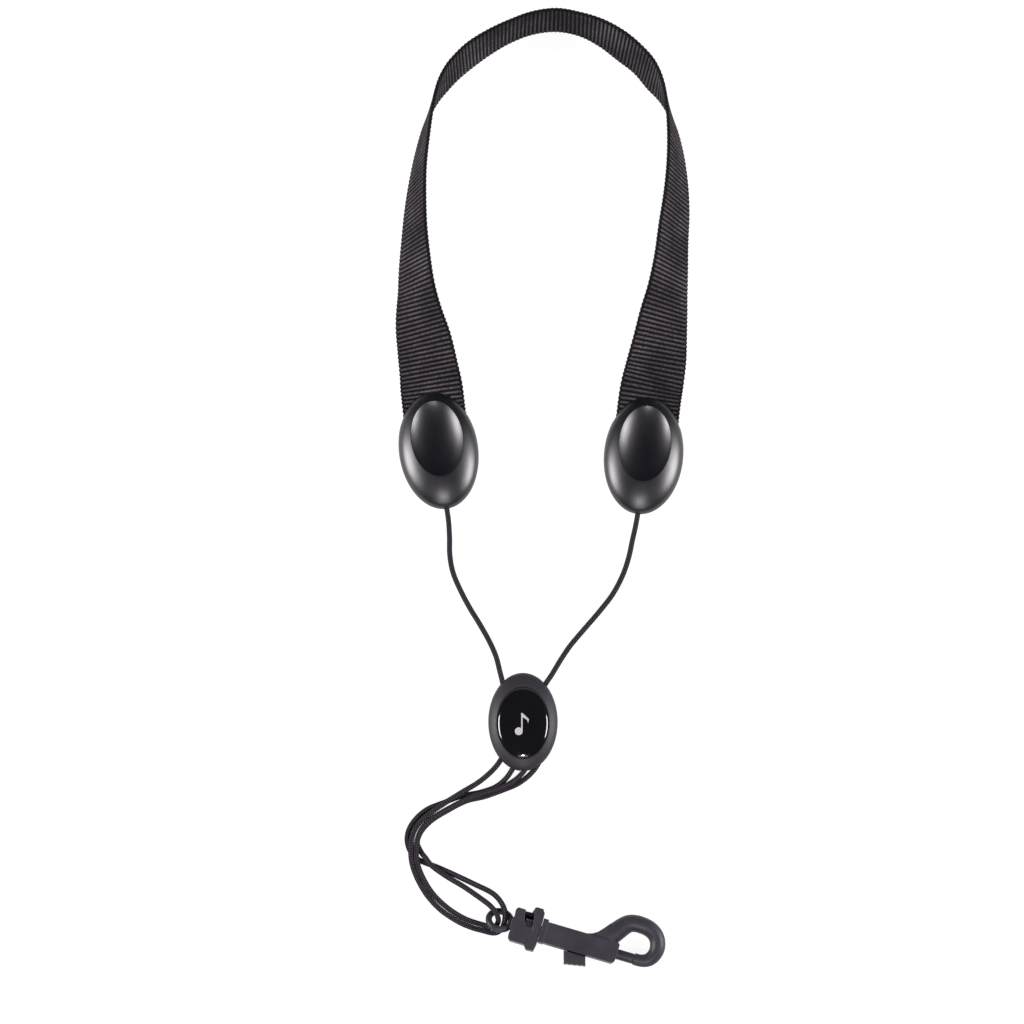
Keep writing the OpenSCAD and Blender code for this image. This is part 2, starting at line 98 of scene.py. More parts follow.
def run_of(points):
    """Distance along a line of points, from its first."""
    steps = np.linalg.norm(np.diff(points[:, :3], axis=0), axis=1)
    return np.concatenate([[0], np.cumsum(steps)])


def resample(points, pitch):
    """The same line with its points an even pitch apart."""
    run = run_of(points)
    count = max(2, int(round(run[-1] / pitch)) + 1)
    where = np.linspace(0, run[-1], count)
    return np.stack([np.interp(where, run, points[:, k]) for k in range(points.shape[1])], 1)


def directions(points):
    """The unit direction of a line at each of its points."""
    d = np.gradient(points[:, :3], axis=0)
    return d / np.linalg.norm(d, axis=1)[:, None]


def frames(points):
    """A side and an up for each point, carried along without twisting."""
    way = directions(points)
    side = np.cross(way[0], (0, 0, 1.0))
    if np.linalg.norm(side) < 0.1:
        side = np.cross(way[0], (0, 1.0, 0))
    side /= np.linalg.norm(side)
    sides = []
    for w in way:
        side = side - w * side.dot(w)
        side /= np.linalg.norm(side)
        sides.append(side)
    sides = np.array(sides)
    return sides, np.cross(sides, way)


def new_mesh(name, verts, faces, smooth=True):
    """A new object of the given points and faces, in the scene."""
    mesh = bpy.data.meshes.new(name)
    mesh.from_pydata([tuple(map(float, v)) for v in verts], [], faces)
    mesh.validate()
    if smooth:
        mesh.shade_smooth()
    obj = bpy.data.objects.new(name, mesh)
    bpy.context.collection.objects.link(obj)
    return obj


def grid_faces(rings, corners, start=0):
    """The four-cornered faces between rings of points, which begin at the point numbered start."""
    faces = []
    for i in range(rings - 1):
        for k in range(corners):
            a, b = start + i * corners + k, start + i * corners + (k + 1) % corners
            faces.append((a, b, b + corners, a + corners))
    return faces


def caps_of(rings, corners):
    """The faces that close the first and the last ring."""
    last = (rings - 1) * corners
    return [tuple(reversed(range(corners))), tuple(range(last, last + corners))]


def store(obj, name, values):
    """Keeps one number for each point of a mesh, for its material."""
    a = obj.data.attributes.new(name, "FLOAT", "POINT")
    a.data.foreach_set("value", np.asarray(values, np.float32))


# ---------------------------------------------------------------- braid

CORD_D = 2.5
CORD_PITCH = 0.25
CORD_SIDES = 24
STRANDS = 6
LAY = 7.8  # the length in which a strand goes once round
BRAID_RISE = 0.11  # how far the strands' crests stand proud
PATH_PITCH = 2.0


def braided(name, points):
    """A braided cord round a line in millimetres, on which two crossing sets of strands stand proud.

    Returns the cord, its route in the row frame, and the distance of each of its rings from its start.
    """
    line = resample(spline(points), CORD_PITCH)
    side, up = frames(line)
    run = run_of(line)
    turn = np.arange(CORD_SIDES) / CORD_SIDES
    around = turn[None, :] * STRANDS
    along = run[:, None] * STRANDS / LAY
    a, b = around + along, around - along
    pillow = np.sqrt(np.abs(np.sin(np.pi * a) * np.sin(np.pi * b)))
    over = (np.floor(a) + np.floor(b)) % 2
    radius = CORD_D / 2 + BRAID_RISE * pillow
    angle = 2 * np.pi * turn
    ring = np.cos(angle)[None, :, None] * side[:, None, :] + np.sin(angle)[None, :, None] * up[:, None, :]
    skin = line[:, None, :] + ring * radius[:, :, None]
    faces = grid_faces(len(line), CORD_SIDES) + caps_of(len(line), CORD_SIDES)
    obj = new_mesh(name, moved(skin.reshape(-1, 3)), faces)
    store(obj, "pillow", pillow.ravel())
    store(obj, "over", over.ravel())
    path = [tuple(map(float, p)) for p in moved(resample(line, PATH_PITCH))]
    return obj, path, run


# ---------------------------------------------------------------- cords

SLIDER = (-10.6, -121.7)
UPPER_LEFT = [
    (-50.6, -0.7, 4.2), (-48.8, -13, 4.2), (-47.8, -20, 3.2), (-47.3, -28, 1.6), (-47.1, -37, 1.3),
    (-45.5, -45.8, 1.3), (-41.8, -54.8, 1.3), (-37, -64, 1.3), (-32, -72.3, 1.3), (-27.3, -80.8, 1.4),
    (-24, -88.5, 2.1), (-22.1, -96, 3.4), (-20.4, -103.5, 4.1), (-20.2, -109, 4.2),
]
UPPER_RIGHT = [
    (48.6, -2.6, 4.2), (47.2, -15, 4.2), (46, -22, 3.2), (44.3, -29.5, 1.6), (42.3, -38.5, 1.3),
    (39.2, -47.5, 1.3), (34.2, -57, 1.3), (27.5, -65.8, 1.3), (20, -74.6, 1.3), (13, -83, 1.4),
    (8.2, -90.3, 2.3), (3.8, -97.8, 3.5), (-0.4, -104.5, 4.1), (-1, -109, 4.2),
]
LOWER_A = [
    (-20.2, -135, 4.2), (-21.2, -139.8, 4), (-25.3, -145.3, 3.2), (-32.2, -151.2, 2.7),
    (-40.5, -156.4, 3.7), (-48.5, -161.5, 4.1), (-55.8, -166.5, 3.7), (-61.5, -171.7, 3.5),
    (-64.6, -177.8, 3.5), (-65.2, -184.5, 4.1), (-64.6, -191, 3.6), (-62.1, -198, 1.6), (-57.4, -206, 1.3),
    (-50.7, -213.2, 1.3), (-42.5, -218.7, 1.3), (-36, -221.6, 1.3), (-30, -223.3, 1.3),
]
LOWER_B = [
    (-13.9, -139.5, 4.2), (-15.2, -143.8, 3.8), (-18.6, -149, 2.4), (-23.8, -153.3, 1.4), (-31.2, -156, 1.3),
    (-40.5, -157.9, 1.3), (-49.5, -161.2, 1.3), (-57.5, -164.5, 1.3), (-63.2, -169.4, 1.3),
    (-66.5, -175, 1.3), (-67, -180.8, 1.3), (-64.6, -186.4, 1.3), (-60, -189.8, 1.3), (-52.5, -192.6, 1.3),
    (-43.5, -196.6, 1.9), (-34.5, -201, 3.6), (-26.5, -205, 5),
]
LOWER_C = [
    (-7.3, -139.5, 4.2), (-9, -144.3, 4.1), (-13.4, -149.5, 3.8), (-20.5, -153.8, 3.7), (-28.5, -156.4, 3.8),
    (-37.2, -159.4, 3.9), (-46.4, -164.1, 3.9), (-54.1, -168.6, 3.8), (-59.4, -173.5, 3.9),
    (-62.1, -179.4, 3.8), (-62.6, -185.5, 4), (-61.9, -191.2, 3.7), (-59.4, -197.7, 1.8),
    (-54.4, -205.6, 1.3), (-47.1, -212.5, 1.3), (-38.6, -217.7, 1.3), (-29.5, -220.7, 1.3),
]
LOWER_D = [
    (-1, -135, 4.2), (-2.2, -140.5, 4), (-6.3, -146.6, 2.7), (-13, -151.8, 1.4), (-21, -155.2, 1.3),
    (-29.5, -158.2, 1.3), (-38.5, -160.4, 1.3), (-47.5, -165, 1.3), (-55.2, -169.8, 1.3),
    (-60.2, -175.1, 1.3), (-62.2, -180.6, 1.3), (-60.3, -185.3, 1.8), (-58, -188.5, 3.9), (-55, -192.2, 4),
    (-47.8, -197.3, 3.2), (-39.4, -202.3, 3), (-30.5, -208.6, 5.2),
]
BIGHT_OUTER = [
    (-30, -223.3, 1.3), (-25, -224.4, 1.6), (-21.6, -223.3, 3), (-19.9, -220.3, 4.7), (-19.3, -216.5, 5.4),
    (-20, -212.5, 5.6), (-22.6, -208.3, 5.5), (-26.5, -205, 5),
]
BIGHT_INNER = [
    (-29.5, -220.7, 1.3), (-26, -221.6, 1.9), (-23.6, -220.9, 3.6), (-22.6, -218.6, 5.4),
    (-23.6, -215.4, 6.5), (-26.4, -211.9, 6.2), (-30.5, -208.6, 5.2),
]
TURN = [
    (-13.9, -139.5, 4.2), (-15, -128, 4.2),
    *[(SLIDER[0] + 5 * math.cos(math.radians(a)), SLIDER[1] + 4 + 5 * math.sin(math.radians(a)), 4.2)
      for a in range(180, -1, -30)],
    (-6.2, -128, 4.2), (-7.3, -139.5, 4.2),
]


def bend_between(obj):
    """Puts the cord's placement into its points."""
    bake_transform(obj)


cords = []
for name, points, node in (
    ("cord_upper_left", UPPER_LEFT, "cord_upper_left"),
    ("cord_upper_right", UPPER_RIGHT, "cord_upper_right"),
):
    obj, path, run = braided("braided_" + name, points)
    bend_between(obj)
    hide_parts(node)
    cords.append(obj)

left_run = [(-20.2, -109, 4.2), (-20.2, -122, 4.2)]
right_run = [(-1, -109, 4.2), (-1, -122, 4.2)]
for name, down, bight, back_up, nodes in (
    ("cord_lower_outer", left_run + LOWER_A, BIGHT_OUTER, LOWER_B[::-1],
     ("slider_cord_left", "cord_lower_a", "cord_lower_b", "eye_bight_outer")),
    ("cord_lower_inner", right_run + LOWER_D, BIGHT_INNER[::-1], LOWER_C[::-1],
     ("slider_cord_right", "cord_lower_c", "cord_lower_d", "eye_bight_inner")),
):
    obj, path, run = braided("braided_" + name, down + bight[1:-1] + back_up)
    bend_between(obj)
    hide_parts(*nodes)
    cords.append(obj)

turn, _, _ = braided("braided_cord_turn", TURN)
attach(turn, "slider")
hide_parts("slider_cord_turn")
cords.append(turn)

# ---------------------------------------------------------------- neck band

BAND_W = 32
BAND_T = 1.8
BAND_CLEAR = 0.05
RIB = 2.25  # from one rib to the next
RIB_DEPTH = 0.3  # how much thinner the webbing is between two ribs
RIB_NOTCH = 0.5  # how much narrower it is there
RIB_FULLNESS = 0.75
# X and Y of the webbing's middle and its lean in degrees: 0 lies flat and 90 stands on edge.
BAND_ROUTE = [
    (-53.6, 24, 0), (-55.2, 36, 0), (-56.4, 46, 1), (-58, 57, 18), (-60.4, 71, 29), (-63.1, 84, 41),
    (-64.7, 98, 53), (-65.6, 112, 59), (-65.9, 128, 65), (-65.5, 144, 69), (-64.3, 160, 73),
    (-62, 176, 76), (-59, 191, 80), (-54.7, 203.8, 86), (-49.8, 212.2, 90), (-44.6, 218.6, 91.2),
    (-37.6, 225.2, 92), (-28.2, 232, 90.2), (-17.5, 238.1, 87.8), (-5.5, 242.9, 87.1), (7.2, 244.6, 87.1),
    (19.5, 242.2, 87.6), (30.5, 237.3, 91.8), (40.5, 230.3, 95.5), (49.2, 222.7, 94.8), (55.8, 214.3, 95),
    (61.6, 204.5, 87.6), (65.8, 191, 79), (68, 176, 73), (68.7, 160, 68), (68.1, 144, 63.4),
    (66.4, 128, 59.6), (65, 112, 55.4), (63.1, 97, 49), (60.9, 84, 39), (58.8, 70, 28),
    (56.4, 57, 14), (54.2, 46, 1), (52.7, 35, 0), (51.4, 23, 0),
]
BAND_END_Z = 4.6
RIB_STEPS = 8
FACE_STEPS = 30
EDGE_STEPS = 6


def band_height(lean):
    """Height of the webbing's middle: its lower edge on the surface, or its end in a cap's slot."""
    a = math.radians(lean)
    return max(BAND_W / 2 * math.sin(a) + BAND_T / 2 * abs(math.cos(a)) + BAND_CLEAR, BAND_END_Z)


def band():
    """The webbing, with ribs across its width, and its length in millimetres."""
    stations = spline([(x, y, band_height(lean), lean) for x, y, lean in BAND_ROUTE])
    line = resample(stations, RIB / RIB_STEPS)
    way = directions(line)
    flat_way = way * (1, 1, 0)
    flat_way /= np.linalg.norm(flat_way, axis=1)[:, None]
    inward = np.stack([flat_way[:, 1], -flat_way[:, 0], np.zeros(len(line))], 1)
    lean = np.radians(line[:, 3])[:, None]
    across = inward * np.cos(lean) + np.array((0, 0, 1.0)) * np.sin(lean)
    across -= way * (across * way).sum(1)[:, None]
    across /= np.linalg.norm(across, axis=1)[:, None]
    face = np.cross(way, across)
    run = run_of(line)
    wave = np.abs(np.sin(np.pi * run / RIB)) ** RIB_FULLNESS
    half_t = BAND_T / 2 - RIB_DEPTH * (1 - wave)
    half_w = BAND_W / 2 - RIB_NOTCH * (1 - wave)
    # The section: a flat face each way and a round selvedge at each side. Each point has its share of
    # the flat width, its share of the selvedge's bulge and its share of half the thickness.
    section = []
    for way_across in (1, -1):
        for k in range(FACE_STEPS + 1):
            section.append((way_across * (-1 + 2 * k / FACE_STEPS), 0.0, way_across))
        for k in range(1, EDGE_STEPS):
            a = math.pi * k / EDGE_STEPS
            section.append((way_across, math.sin(a), way_across * math.cos(a)))
    flat_share, bulge, rise = np.array(section).T
    corners = len(section)
    u = np.outer(half_w - half_t, flat_share) + np.outer(half_t, np.sign(flat_share) * bulge)
    v = np.outer(half_t, rise)
    skin = line[:, None, :3] + across[:, None, :] * u[:, :, None] + face[:, None, :] * v[:, :, None]
    faces = grid_faces(len(line), corners) + caps_of(len(line), corners)
    obj = new_mesh("ribbed_webbing", moved(skin.reshape(-1, 3)), faces)
    store(obj, "across", u.ravel())
    store(obj, "wave", np.repeat(wave, corners))
    return obj, run[-1]


webbing, webbing_length = band()
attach(webbing, "neck_band")
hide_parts("webbing_band")

# ---------------------------------------------------------------- solids


def placed(centre, degrees, z=0.0):
    """Where a piece's own millimetres lie: its centre and its turn about Z."""
    return Matrix.Translation(at(centre[0], centre[1], z)) @ Matrix.Rotation(math.radians(degrees), 4, "Z")


def box_mesh(name, low, high, place):
    """A box between two opposite corners."""
    bm = bmesh.new()
    bmesh.ops.create_cube(bm, size=1)
    size = Vector(high) - Vector(low)
    middle = (Vector(high) + Vector(low)) / 2
    for v in bm.verts:
        v.co = Vector((v.co.x * size.x, v.co.y * size.y, v.co.z * size.z)) + middle
    return from_bmesh(name, bm, place)


def from_bmesh(name, bm, place):
    """A new object of a mesh in millimetres, which is used up."""
    bmesh.ops.recalc_face_normals(bm, faces=bm.faces)
    mesh = bpy.data.meshes.new(name)
    bm.to_mesh(mesh)
    bm.free()
    mesh.transform(place @ Matrix.Scale(MM, 4))
    obj = bpy.data.objects.new(name, mesh)
    bpy.context.collection.objects.link(obj)
    return obj


def rod_mesh(name, radius, start, end, place, sides=64):
    """A cylinder between two points."""
    a, b = Vector(start), Vector(end)
    bm = bmesh.new()
    turn = (b - a).to_track_quat("Z", "Y").to_matrix().to_4x4()
    bmesh.ops.create_cone(bm, cap_ends=True, segments=sides, radius1=radius, radius2=radius,
                          depth=(b - a).length, matrix=Matrix.Translation((a + b) / 2) @ turn)
    return from_bmesh(name, bm, place)


def prism_mesh(name, outline, low, high, place):
    """An outline in X and Y, from one height to another."""
    bm = bmesh.new()
    bottom = [bm.verts.new((x, y, low)) for x, y in outline]
    top = [bm.verts.new((x, y, high)) for x, y in outline]
    bm.faces.new(bottom[::-1])
    bm.faces.new(top)
    for i in range(len(outline)):
        j = (i + 1) % len(outline)
        bm.faces.new((bottom[i], bottom[j], top[j], top[i]))
    return from_bmesh(name, bm, place)


def apply_modifiers(obj):
    """Makes the object's modifiers part of its mesh."""
    mesh = bpy.data.meshes.new_from_object(obj.evaluated_get(bpy.context.evaluated_depsgraph_get()))
    obj.modifiers.clear()
    obj.data = mesh


def combine(obj, others, operation):
    """Adds or cuts away the other objects, which are used up."""
    for other in others:
        m = obj.modifiers.new("step", "BOOLEAN")
        m.operation, m.object, m.solver = operation, other, "EXACT"
        apply_modifiers(obj)
        bpy.data.objects.remove(other)


def softened(obj, voxel, rounds):
    """One smooth skin, with every edge and inner corner rounded a little as in a moulding."""
    m = obj.modifiers.new("skin", "REMESH")
    m.mode, m.voxel_size, m.use_smooth_shade = "VOXEL", voxel * MM, True
    apply_modifiers(obj)
    m = obj.modifiers.new("soft", "SMOOTH")
    m.factor, m.iterations = 0.5, rounds
    apply_modifiers(obj)
    obj.data.shade_smooth()
    return obj


def shade_with_edges(obj, degrees):
    """Smooth shading that keeps the edges that turn by more than the given angle."""
    obj.data.shade_smooth()
    obj.data.set_sharp_from_angle(angle=math.radians(degrees))


def rings_mesh(name, rings, place):
    """A closed solid of rings of points in millimetres, with a fan of faces over its first and last ring."""
    corners = len(rings[0])
    verts = [np.mean(rings[0], axis=0)]
    for ring in rings:
        verts.extend(ring)
    verts.append(np.mean(rings[-1], axis=0))
    faces = grid_faces(len(rings), corners, start=1)
    last = 1 + (len(rings) - 1) * corners
    end = len(verts) - 1
    for k in range(corners):
        faces.append((0, 1 + (k + 1) % corners, 1 + k))
        faces.append((end, last + k, last + (k + 1) % corners))
    obj = new_mesh(name, verts, faces)
    obj.data.transform(place @ Matrix.Scale(MM, 4))
    bm = bmesh.new()
    bm.from_mesh(obj.data)
    bmesh.ops.recalc_face_normals(bm, faces=bm.faces)
    bm.to_mesh(obj.data)
    bm.free()
    return obj


# ---------------------------------------------------------------- caps

AROUND = 192
angles = np.arange(AROUND) / AROUND * 2 * np.pi
ellipse = np.stack([np.cos(angles), np.sin(angles)], -1)

# Where a front and a back shell meet: each keeps HALF_GAP clear, a back steps in by STEP_IN, and the
# groove that shows between them is PARTING high on either side. LIP and HALF_WAY shrink an outline.
HALF_GAP, STEP_IN, PARTING = 0.04, 0.2, 0.25
LIP, HALF_WAY = (0.99, 0.993, 1), (0.5, 0.5, 1)
EDGE_ANGLE = 40
CORD_Z, CORD_HOLE_R = 4.2, 1.55

CAP_A, CAP_B = 20.0, 30.5
CAP_BACK, CAP_DOME = 4.2, 9.0
CAP_BACK_ROUND = 3.0
DISH_A, DISH_B, DISH_Y = 13.0, 20.25, 4.8
DISH_DEPTH, DISH_LIFT, DISH_TILT = 4.0, 4.2, math.radians(-3.6)
DISH_RIM_Z = CAP_BACK + 0.74 * CAP_DOME
RIM_SOFT = 0.22
NO_DISH = 99.0
# Rings of the dish as shares of the way to its rim, rings about the rim in millimetres past it, and
# the number of rings from there to the cap's outline.
DISH_SHARES = (0.08, 0.2, 0.32, 0.44, 0.55, 0.65, 0.74, 0.82, 0.88, 0.93)
RIM_OFFSETS = (-0.6, -0.35, -0.2, -0.1, -0.03, 0.03, 0.1, 0.2, 0.35, 0.6)
DOME_RINGS = 18
SEARCH_FAR, SEARCH_ROUNDS = 60.0, 50
BAND_SLOT = ((-17, 6, 3.45), (17, 50, 5.75))


def dish_height(x, y):
    """Height of the dish's surface, a tilted ellipsoid's lower side; NO_DISH where there is none."""
    rise = DISH_DEPTH + DISH_LIFT
    share = math.sqrt(1 - (DISH_LIFT / rise) ** 2)
    semi = np.array((DISH_A / share, DISH_B / share, rise))
    c, s = math.cos(DISH_TILT), math.sin(DISH_TILT)
    dy = y - DISH_Y
    base = np.stack([x / semi[0], (c * dy) / semi[1], (-s * dy) / semi[2]], -1)
    lift = np.array((0, s / semi[1], c / semi[2]))
    aa = (lift ** 2).sum()
    bb = (base * lift).sum(-1)
    cc = (base ** 2).sum(-1) - 1
    inside = bb ** 2 - aa * cc
    z = (-bb - np.sqrt(np.maximum(inside, 0))) / aa
    return np.where(inside > 0, z + DISH_RIM_Z + DISH_LIFT, NO_DISH)


def dome_height(x, y):
    """Height of the cap's dome."""
    rho = (x / CAP_A) ** 2 + (y / CAP_B) ** 2
    return CAP_BACK + CAP_DOME * np.sqrt(np.maximum(1 - rho, 0))


def lower_of(a, b):
    """The lower of two heights, with the crossing rounded."""
    gap = np.clip(0.5 + 0.5 * (b - a) / RIM_SOFT, 0, 1)
    return b + (a - b) * gap - RIM_SOFT * gap * (1 - gap)


def cap_front(name, place):
    """A domed shell with a concave dish, its rim rounded, in rings about the dish's middle."""
    ray = ellipse * (2, 3)
    ray /= np.linalg.norm(ray, axis=1)[:, None]
    start = np.array((0, DISH_Y))

    def reach(test):
        """How far along each ray the test still holds."""
        low, high = np.zeros(AROUND), np.full(AROUND, SEARCH_FAR)
        for _ in range(SEARCH_ROUNDS):
            middle = (low + high) / 2
            p = start + ray * middle[:, None]
            inside = test(p[:, 0], p[:, 1])
            low, high = np.where(inside, middle, low), np.where(inside, high, middle)
        return low

    rim = reach(lambda x, y: dish_height(x, y) < dome_height(x, y))
    edge = reach(lambda x, y: (x / CAP_A) ** 2 + (y / CAP_B) ** 2 < 1)
    radii = [rim * share for share in DISH_SHARES] + [rim + offset for offset in RIM_OFFSETS]
    past_rim = radii[-1]
    for k in range(1, DOME_RINGS + 1):
        radii.append(past_rim + (edge - past_rim) * math.sin(math.pi / 2 * k / DOME_RINGS))
    solid = []
    for radius in radii:
        p = start + ray * radius[:, None]
        z = lower_of(dome_height(p[:, 0], p[:, 1]), dish_height(p[:, 0], p[:, 1]))
        z = np.maximum(z, CAP_BACK + PARTING)
        solid.append(np.column_stack([p, z]))
    outline = solid[-1]
    for shrink in (LIP, HALF_WAY):
        under = outline * shrink
        under[:, 2] = CAP_BACK + HALF_GAP
        solid.append(under)
    return rings_mesh(name, solid, place)


def level_ring(semi_a, semi_b, z):
    """An oval of points at one height."""
    return np.column_stack([ellipse * (semi_a, semi_b), np.full(AROUND, z)])


def tray(name, semi_a, semi_b, height, round_in, place):
    """A back shell: flat underneath, its lower edge rounded, with a fine step below the parting line."""
    steps = 12
    rings = [(semi_a * 0.6, 0), (round_in + 2, 0)]
    for k in range(steps + 1):
        a = math.pi / 2 * k / steps
        rings.append((round_in * (1 - math.sin(a)), (height - PARTING) * (1 - math.cos(a))))
    rings.append((STEP_IN, height - HALF_GAP))
    solid = [level_ring(semi_a - inset, semi_b - inset, z) for inset, z in rings]
    solid.append(level_ring(semi_a / 2, semi_b / 2, height - HALF_GAP))
    return rings_mesh(name, solid, place)


caps = []
for side, centre, degrees in (("left", (-53.0, 16.5), 8.1), ("right", (50.3, 13.9), -6.1)):
    place = placed(centre, degrees)
    front = cap_front(f"cap_shell_{side}_front", place)
    back = tray(f"cap_shell_{side}_back", CAP_A, CAP_B, CAP_BACK, CAP_BACK_ROUND, place)
    for shell, node in ((front, f"{side}_cap_front"), (back, f"{side}_cap_back")):
        slot = box_mesh("slot", *BAND_SLOT, place)
        hole = rod_mesh("hole", CORD_HOLE_R, (0, -40, CORD_Z), (0, -18, CORD_Z), place)
        combine(shell, [slot, hole], "DIFFERENCE")
        shade_with_edges(shell, EDGE_ANGLE)
        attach(shell, "neck_band")
        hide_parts(node)
        caps.append(shell)

# ---------------------------------------------------------------- slider

SL_A, SL_B = 17.1, 24.4
SL_BACK, SL_DOME = 4.2, 6.6
REC_A, REC_B, REC_Z = 13.1, 17.9, 7.2
REC_SHIFT = np.array((0, -0.9))
SL_BACK_IN, SL_BACK_ROUND = 3, 2.0
# The recess's rounded edge: how far inside the edge and how far below it each ring is.
REC_EDGE = ((0.3, 0.7), (0.14, 0.4), (0.03, 0.2), (-0.08, 0.07), (-0.25, 0.01))
SL_RINGS = 20
CHANNEL_X = 9.6
PEG_POCKET = ((-6.55, -18.5, 2.65), (6.55, 4, 5.75))
TUNNEL_R, TUNNEL_SIDES, TUNNEL_STEPS, TUNNEL_PITCH = 1.6, 32, 8, 1.0
slider_place = placed(SLIDER, 0)


def slider_front(name, place):
    """A domed shell with a flat oval recess for the badge."""
    def dome(share):
        """A ring of the dome between the recess's edge at 0 and the outline at 1."""
        a, b = REC_A + (SL_A - REC_A) * share, REC_B + (SL_B - REC_B) * share
        p = ellipse * (a, b) + REC_SHIFT * (1 - share)
        rho = (p[:, 0] / SL_A) ** 2 + (p[:, 1] / SL_B) ** 2
        z = SL_BACK + SL_DOME * np.sqrt(np.maximum(1 - rho, 0))
        return np.column_stack([p, np.maximum(z, SL_BACK + PARTING)])

    solid = [level_ring(REC_A / 2, REC_B / 2, REC_Z),
             level_ring(REC_A - 0.55, REC_B - 0.55, REC_Z),
             level_ring(REC_A - 0.45, REC_B - 0.45, REC_Z + 0.12)]
    for ring in solid:
        ring[:, :2] += REC_SHIFT
    edge = dome(0.0)
    for inset, drop in REC_EDGE:
        ring = edge.copy()
        ring[:, :2] -= ellipse * inset
        ring[:, 2] -= drop
        solid.append(ring)
    first_share = 0.08
    for k in range(1, SL_RINGS + 1):
        solid.append(dome(first_share + (1 - first_share) * math.sin(math.pi / 2 * k / SL_RINGS)))
    lip = solid[-1] * LIP
    lip[:, 2] = SL_BACK + HALF_GAP
    solid.append(lip)
    solid.append(lip * HALF_WAY)
    return rings_mesh(name, solid, place)


def tunnel(name, points):
    """A cutter that follows a cord's way out of the slider."""
    line = resample(spline(points, TUNNEL_STEPS), TUNNEL_PITCH)
    side, up = frames(line)
    turn = (np.arange(TUNNEL_SIDES) / TUNNEL_SIDES * 2 * math.pi)[:, None]
    rings = [p + TUNNEL_R * (np.cos(turn) * s + np.sin(turn) * u) for p, s, u in zip(line[:, :3], side, up)]
    return rings_mesh(name, rings, Matrix.Translation(at(0, 0)))


front = slider_front("slider_shell_front", slider_place)
back = tray("slider_shell_back", SL_A - SL_BACK_IN, SL_B - SL_BACK_IN, SL_BACK, SL_BACK_ROUND, slider_place)
for shell, node in ((front, "slider_front"), (back, "slider_back")):
    cutters = [rod_mesh("channel", CORD_HOLE_R, (x, -14.5, CORD_Z), (x, 13.5, CORD_Z), slider_place)
               for x in (-CHANNEL_X, CHANNEL_X)]
    cutters += [tunnel("tunnel", points) for points in
                (UPPER_LEFT[-4:], UPPER_RIGHT[-4:], LOWER_A[:4], LOWER_B[:3], LOWER_C[:3], LOWER_D[:4])]
    cutters.append(box_mesh("pocket", *PEG_POCKET, slider_place))
    combine(shell, cutters, "DIFFERENCE")
    shade_with_edges(shell, EDGE_ANGLE)
    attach(shell, "slider")
    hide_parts(node)
slider_shells = [front, back]

BADGE_A, BADGE_B, BADGE_H = REC_A - 0.6, REC_B - 1.0, 2.0
BADGE_SHIFT = REC_SHIFT + (0, -0.3)
BADGE_LIFT = 0.02
BADGE_RINGS = 24
BADGE_EDGE_ANGLE = 60


def badge(name, place):
    """A domed oval with a flat underside, just clear of the recess's floor."""
    solid = []
    for k in range(1, BADGE_RINGS + 1):
        share = math.sin(math.pi / 2 * k / BADGE_RINGS)
        p = ellipse * (BADGE_A * share, BADGE_B * share)
        rho = (p[:, 0] / BADGE_A) ** 2 + (p[:, 1] / BADGE_B) ** 2
        z = REC_Z + BADGE_LIFT + BADGE_H * np.sqrt(np.maximum(1 - rho, 0))
        solid.append(np.column_stack([p + BADGE_SHIFT, z]))
    middle = (*BADGE_SHIFT, 0)
    solid.append((solid[-1] - middle) * HALF_WAY + middle)
    return rings_mesh(name, solid, place)


badge_dome = badge("badge_dome", slider_place)
shade_with_edges(badge_dome, BADGE_EDGE_ANGLE)
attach(badge_dome, "slider")
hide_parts("slider_badge")

# ---------------------------------------------------------------- hook

HOOK = (-0.3, -224.6)
HOOK_TURN = -16.3
AXIS_Z = 5.2
hook_place = placed(HOOK, HOOK_TURN, AXIS_Z)
# The hook's shapes are drawn about the axis of bolt and swivel, which is X, with the eye towards -X.
# Widths and thicknesses are measured from that axis, so they are halves. ARM is the arm's route, with
# half its width and half its thickness at each point.
ARM = [
    (24, -0.6, 4.2, 3.6), (27, 2.2, 4.7, 4), (30, 6, 4.75, 4.2), (32.8, 9.8, 4.7, 4.3),
    (35.6, 13.4, 4.5, 4.3), (38, 15.6, 4.3, 4.2), (41.2, 16.6, 4.15, 4.1), (44.6, 16.6, 4.1, 4),
    (48, 16, 4, 3.9), (51, 14.4, 3.9, 3.8), (53.2, 11.8, 3.8, 3.7), (54.2, 8.4, 3.7, 3.6),
    (53.8, 5, 3.5, 3.4), (52.2, 2.2, 3.3, 3.2), (50, 0.7, 3.1, 3), (47.4, 0.1, 2.95, 2.9),
    (44.6, 0.1, 2.9, 2.85),
]
ARM_STEPS, ARM_SIDES = 6, 48
WEB = [(16, 4), (17.5, 5), (19.8, 5.25), (22.4, 6), (24.6, 7.4), (27, 10), (29.6, 13.2), (32.6, 12), (29, 4)]
WEB_T = 3.6
BODY_L, BODY_W, BODY_T = 36.4, 5.1, 4.75
COLLAR = [(-2.1, -5.4), (0.5, -5.4), (0.5, 6.2), (-2.1, 6.2)]
COLLAR_T = 4.9
NECK_R, HEAD_R = 2.6, 4.2
BOLT_R, BOLT_BORE_R, TIP_R, TIP_CUP_R = 2.5, 2.56, 2.0, 2.15
STEM_T = 1.5
STEM_CLEAR = 0.1
TAB = [(11.2, -5.7), (13, -11.8), (23.3, -9.9), (22, -5.7)]
TAB_T = 3.4
GROOVES, GROOVE_R, GROOVE_STEP = 4, 0.7, (2.4, 0.45)
# The size of a voxel in millimetres, and how many rounds of smoothing.
BODY_SOFT, BOLT_SOFT, EYE_SOFT = (0.16, 9), (0.14, 3), (0.15, 10)


